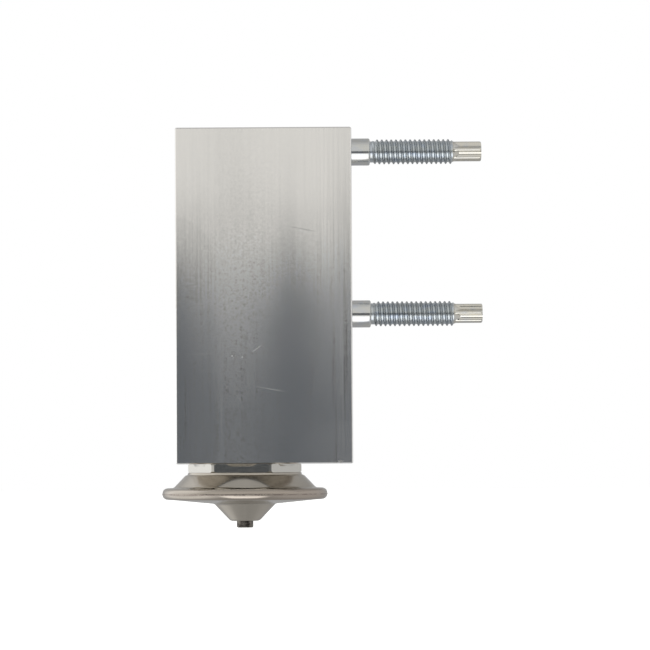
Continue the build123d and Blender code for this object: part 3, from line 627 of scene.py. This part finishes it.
def roll_shape(stud, centre, turn, crest_place):
    """Moves each ring's points to the rolled thread or the forged drive."""
    mesh = bmesh.from_edit_mesh(stud.data)
    axis_z = centre[2] * MM
    for point in mesh.verts:
        place = point.co.x / MM - LINE_FACE_X
        across = Vector((point.co.y, point.co.z - axis_z))
        if across.length < 1.5 * MM or place < THREAD_START - 0.001:
            continue
        angle = math.atan2(across.y, across.x)
        if place <= THREAD_END + 0.001:
            radius = thread_radius(place, angle, crest_place)
        else:
            radius = drive_radius(place, angle, turn)
        across = across.normalized() * radius * MM
        point.co.y, point.co.z = across.x, axis_z + across.y
    bmesh.update_edit_mesh(stud.data)


# ================================================================ tapped holes and weld
HOLE_SEGMENTS = 48
HOLE_RINGS_PER_PITCH = 10
HOLE_LEAD_IN = 0.5  # from the block's face to the first ridge
WALL_CLEARANCE = 0.01
RIDGE_FOOT = 0.94
RIDGE_FLANK = 0.78


def tapped_thread(name, y, material):
    """Sleeve of M5 thread ridges just inside the wall of a plate hole."""
    face_x = BLOCK_LOW.x
    centre = (face_x + HOLE_LEAD_IN, y, PLATE_HOLE_Z)
    length = PLATE_HOLE_DEPTH - HOLE_LEAD_IN
    wall_r = PLATE_HOLE_R - WALL_CLEARANCE
    deselect_all()
    bpy.ops.mesh.primitive_circle_add(
        vertices=HOLE_SEGMENTS, radius=wall_r * MM, fill_type="NOTHING",
        location=metres(*centre), rotation=(0, math.pi / 2, 0))
    sleeve = start_edit(name)
    rings = round(length / PLATE_THREAD_PITCH * HOLE_RINGS_PER_PITCH)
    draw_out([(length * i / rings, wall_r) for i in range(rings + 1)], centre)
    bpy.ops.mesh.select_all(action="SELECT")
    bpy.ops.mesh.normals_make_consistent(inside=True)
    mesh = bmesh.from_edit_mesh(sleeve.data)
    for point in mesh.verts:
        across = Vector((point.co.y - y * MM, point.co.z - PLATE_HOLE_Z * MM))
        place = point.co.x / MM - centre[0]
        turns = place / PLATE_THREAD_PITCH - math.atan2(across.y, across.x) / (2 * math.pi)
        ridge = abs((turns + 0.5) % 1.0 - 0.5) * 2
        rise = min(max((RIDGE_FOOT - ridge) / RIDGE_FLANK, 0.0), 1.0)
        rise *= smooth_step(place / PLATE_THREAD_PITCH)
        radius = wall_r - (wall_r - PLATE_THREAD_ROOT_R) * rise
        across = across.normalized() * radius * MM
        point.co.y, point.co.z = y * MM + across.x, PLATE_HOLE_Z * MM + across.y
    bmesh.update_edit_mesh(sleeve.data)
    end_edit(sleeve, material, "block", smooth_angle=50.0)


WELD_BEAD_R = 0.12
WELD_BEAD_SINK = 0.05  # how far the bead's middle lies inside the rim
WELD_RIPPLES = 260


def weld_bead(material):
    """Fine rippled bead where the two shells are welded together."""
    deselect_all()
    bpy.ops.mesh.primitive_torus_add(
        major_segments=WELD_RIPPLES * 3, minor_segments=12, major_radius=(RIM_R - WELD_BEAD_SINK) * MM,
        minor_radius=WELD_BEAD_R * MM, location=metres(STEM_X, 0, JOINT_Z))
    bead = start_edit("rim_weld_bead")
    mesh = bmesh.from_edit_mesh(bead.data)
    for point in mesh.verts:
        out = Vector((point.co.x - STEM_X * MM, point.co.y, 0.0))
        angle = math.atan2(out.y, out.x)
        core = out.normalized() * (RIM_R - WELD_BEAD_SINK) * MM
        core += Vector((STEM_X * MM, 0.0, JOINT_Z * MM))
        swell = 1.0 + 0.07 * math.sin(angle * WELD_RIPPLES) + 0.06 * math.sin(angle * 17 + 1.0)
        point.co = core + (point.co - core) * swell
    bmesh.update_edit_mesh(bead.data)
    end_edit(bead, material, "block", smooth_angle=60.0)


# ================================================================ studio
WARM = (1.0, 0.992, 0.962)
COOL = (0.95, 0.995, 1.045)


def studio_world():
    """Soft light from all round: a lit table low in front, a dark gap, and a white card above."""
    world = bpy.data.worlds.new("studio")
    bpy.context.scene.world = world
    world.use_nodes = True
    tree = world.node_tree
    tree.nodes.clear()
    direction = add_node(tree, "ShaderNodeTexCoord", out="Generated")
    x = add_node(tree, "ShaderNodeSeparateXYZ", {0: direction}, out="X")
    y = add_node(tree, "ShaderNodeSeparateXYZ", {0: direction}, out="Y")
    z = add_node(tree, "ShaderNodeSeparateXYZ", {0: direction}, out="Z")
    height = add_node(tree, "ShaderNodeMath", {
        0: add_node(tree, "ShaderNodeMath", {0: z}, operation="ARCSINE"), 1: 1 / math.pi, 2: 0.5},
        operation="MULTIPLY_ADD")

    def card(degrees, level, tint=(1.0, 1.0, 1.0)):
        return (degrees / 180 + 0.5, (*(level * part for part in tint), 1.0))

    front = add_node(tree, "ShaderNodeValToRGB", {0: height}, stops=[
        card(-90, 0.50), card(-76, 0.58), card(-64, 1.8), card(-27, 1.8), card(-20, 1.0),
        card(-14, 0.45), card(-9, 0.14, COOL), card(-3.5, 0.14, COOL), card(-1, 0.74, WARM),
        card(5, 0.77, WARM), card(24, 0.79, WARM), card(52, 0.76, WARM), card(75, 0.60), card(90, 0.57)])
    back = add_node(tree, "ShaderNodeValToRGB", {0: height}, stops=[
        card(-90, 0.50), card(-40, 0.52), card(-10, 0.48), card(14, 0.55), card(45, 0.57),
        card(90, 0.57)])
    side = add_node(tree, "ShaderNodeValToRGB", {
        0: add_node(tree, "ShaderNodeMath", {0: x, 1: 0.5, 2: 0.5}, operation="MULTIPLY_ADD")}, stops=[
            (0.0, 2.0), (0.12, 2.4), (0.3, 1.0), (0.5, 0.85), (0.7, 0.9), (0.88, 1.3), (1.0, 1.4)])
    back = add_node(tree, "ShaderNodeVectorMath", {0: back, 1: side}, operation="MULTIPLY")
    level = add_node(tree, "ShaderNodeMath", {
        0: add_node(tree, "ShaderNodeMath", {
            0: add_node(tree, "ShaderNodeMath", {0: z, 1: z}, operation="MULTIPLY"), 1: -1.0, 2: 1.0001},
            operation="MULTIPLY_ADD")}, operation="SQRT")
    facing = add_node(tree, "ShaderNodeMath", {
        0: add_node(tree, "ShaderNodeMath", {0: y, 1: -1.0}, operation="MULTIPLY"), 1: level},
        operation="DIVIDE")
    share = add_node(tree, "ShaderNodeMapRange", {"Value": facing, "From Min": -0.05, "From Max": 0.55},
                     interpolation_type="SMOOTHSTEP")
    # the lit table is narrower than the card above it
    table = add_node(tree, "ShaderNodeMapRange", {"Value": facing, "From Min": 0.76, "From Max": 0.90},
                     interpolation_type="SMOOTHSTEP")
    above = add_node(tree, "ShaderNodeMapRange", {
        "Value": height, "From Min": 0.5 - 9 / 180, "From Max": 0.5 - 4 / 180})
    share = add_node(tree, "ShaderNodeMath", {
        0: share, 1: add_node(tree, "ShaderNodeMath", {0: table, 1: above}, operation="MAXIMUM")},
        operation="MULTIPLY")
    light = add_node(tree, "ShaderNodeMix", {0: share, 6: back, 7: front}, out=2, data_type="RGBA")
    lit = add_node(tree, "ShaderNodeBackground", {"Color": light, "Strength": 1.0})
    seen = add_node(tree, "ShaderNodeBackground", {"Color": (1, 1, 1, 1), "Strength": 1.0})
    to_camera = add_node(tree, "ShaderNodeLightPath", out="Is Camera Ray")
    mixed = add_node(tree, "ShaderNodeMixShader", {0: to_camera, 1: lit, 2: seen})
    add_node(tree, "ShaderNodeOutputWorld", {"Surface": mixed})


def studio_floor():
    """Wide white sheet, lit from below like a light table, that still takes a soft shadow."""
    deselect_all()
    bpy.ops.mesh.primitive_plane_add(size=12.0, location=metres(0, 0, FLOOR_Z))
    floor = bpy.context.active_object
    floor.name = "floor"
    material = bpy.data.materials.new("white_sheet")
    material.use_nodes = True
    tree = material.node_tree
    tree.nodes.clear()
    paper = add_node(tree, "ShaderNodeBsdfDiffuse", {"Color": srgb("f4f4f2")})
    glow = add_node(tree, "ShaderNodeEmission", {"Color": (1, 1, 1, 1), "Strength": FLOOR_GLOW})
    both = add_node(tree, "ShaderNodeAddShader", {0: paper, 1: glow})
    add_node(tree, "ShaderNodeOutputMaterial", {"Surface": both})
    floor.data.materials.append(material)
    floor.visible_glossy = False
    floor.visible_diffuse = False


def studio_card():
    """Long dark card above the table at the lens, seen by reflections alone."""
    deselect_all()
    low, high = CARD_Z
    bpy.ops.mesh.primitive_plane_add(
        size=1.0, location=metres(CAMERA_X, -CARD_DISTANCE, (low + high) / 2),
        rotation=(math.pi / 2, 0, 0))
    card = bpy.context.active_object
    card.name = "dark_card"
    card.scale = metres(CARD_WIDTH, high - low, 1000.0)
    bpy.ops.object.transform_apply(location=True, rotation=True, scale=True)
    material = bpy.data.materials.new("dark_card")
    material.use_nodes = True
    tree = material.node_tree
    tree.nodes.clear()
    glow = add_node(tree, "ShaderNodeEmission", {"Color": (*CARD_COLOUR, 1.0), "Strength": 1.0})
    add_node(tree, "ShaderNodeOutputMaterial", {"Surface": glow})
    card.data.materials.append(material)
    card.visible_camera = False
    card.visible_diffuse = False
    card.visible_shadow = False


def studio_camera():
    camera = bpy.data.objects.new("camera", bpy.data.cameras.new("camera"))
    bpy.context.collection.objects.link(camera)
    camera.location = metres(CAMERA_X, -CAMERA_DISTANCE, CAMERA_Z)
    camera.rotation_euler = (math.radians(90 + CAMERA_TILT), math.radians(CAMERA_ROLL), 0)
    camera.data.lens = CAMERA_LENS
    camera.data.sensor_width = 36.0
    camera.data.clip_start = 0.01
    camera.data.clip_end = 30.0
    bpy.context.scene.camera = camera


# ================================================================ assembly
bpy.context.scene.view_settings.view_transform = "Standard"
studio_camera()
studio_world()
studio_floor()
studio_card()

aluminium = extruded_aluminium()
zinc = zinc_plated()
FINISHES = {
    "block_aluminium": aluminium,
    "head_nut": milled_stainless(),
    "head_shell": pressed_stainless(),
    "plug_steel": welded_pin(),
    "stem_steel": ground_stainless(),
    "spring_steel": spring_wire(),
    "seat_brass": turned_brass(),
    "seal_rubber": moulded_rubber(),
    "stud_zinc": zinc,
}
for entry in frame["record"]["subparts"]:
    node = frame["nodes"][entry["node"]]
    for material_slot in node.material_slots:
        material_slot.material = FINISHES[entry["material_slot"]]

threaded_stud("upper_stud_threaded", "upper_stud", UPPER_STUD_TURN, UPPER_CREST, zinc)
threaded_stud("lower_stud_threaded", "lower_stud", LOWER_STUD_TURN, LOWER_CREST, zinc)
tapped_thread("near_plate_thread", -PLATE_HOLE_Y, aluminium)
tapped_thread("far_plate_thread", PLATE_HOLE_Y, aluminium)
weld_bead(weld_seam())
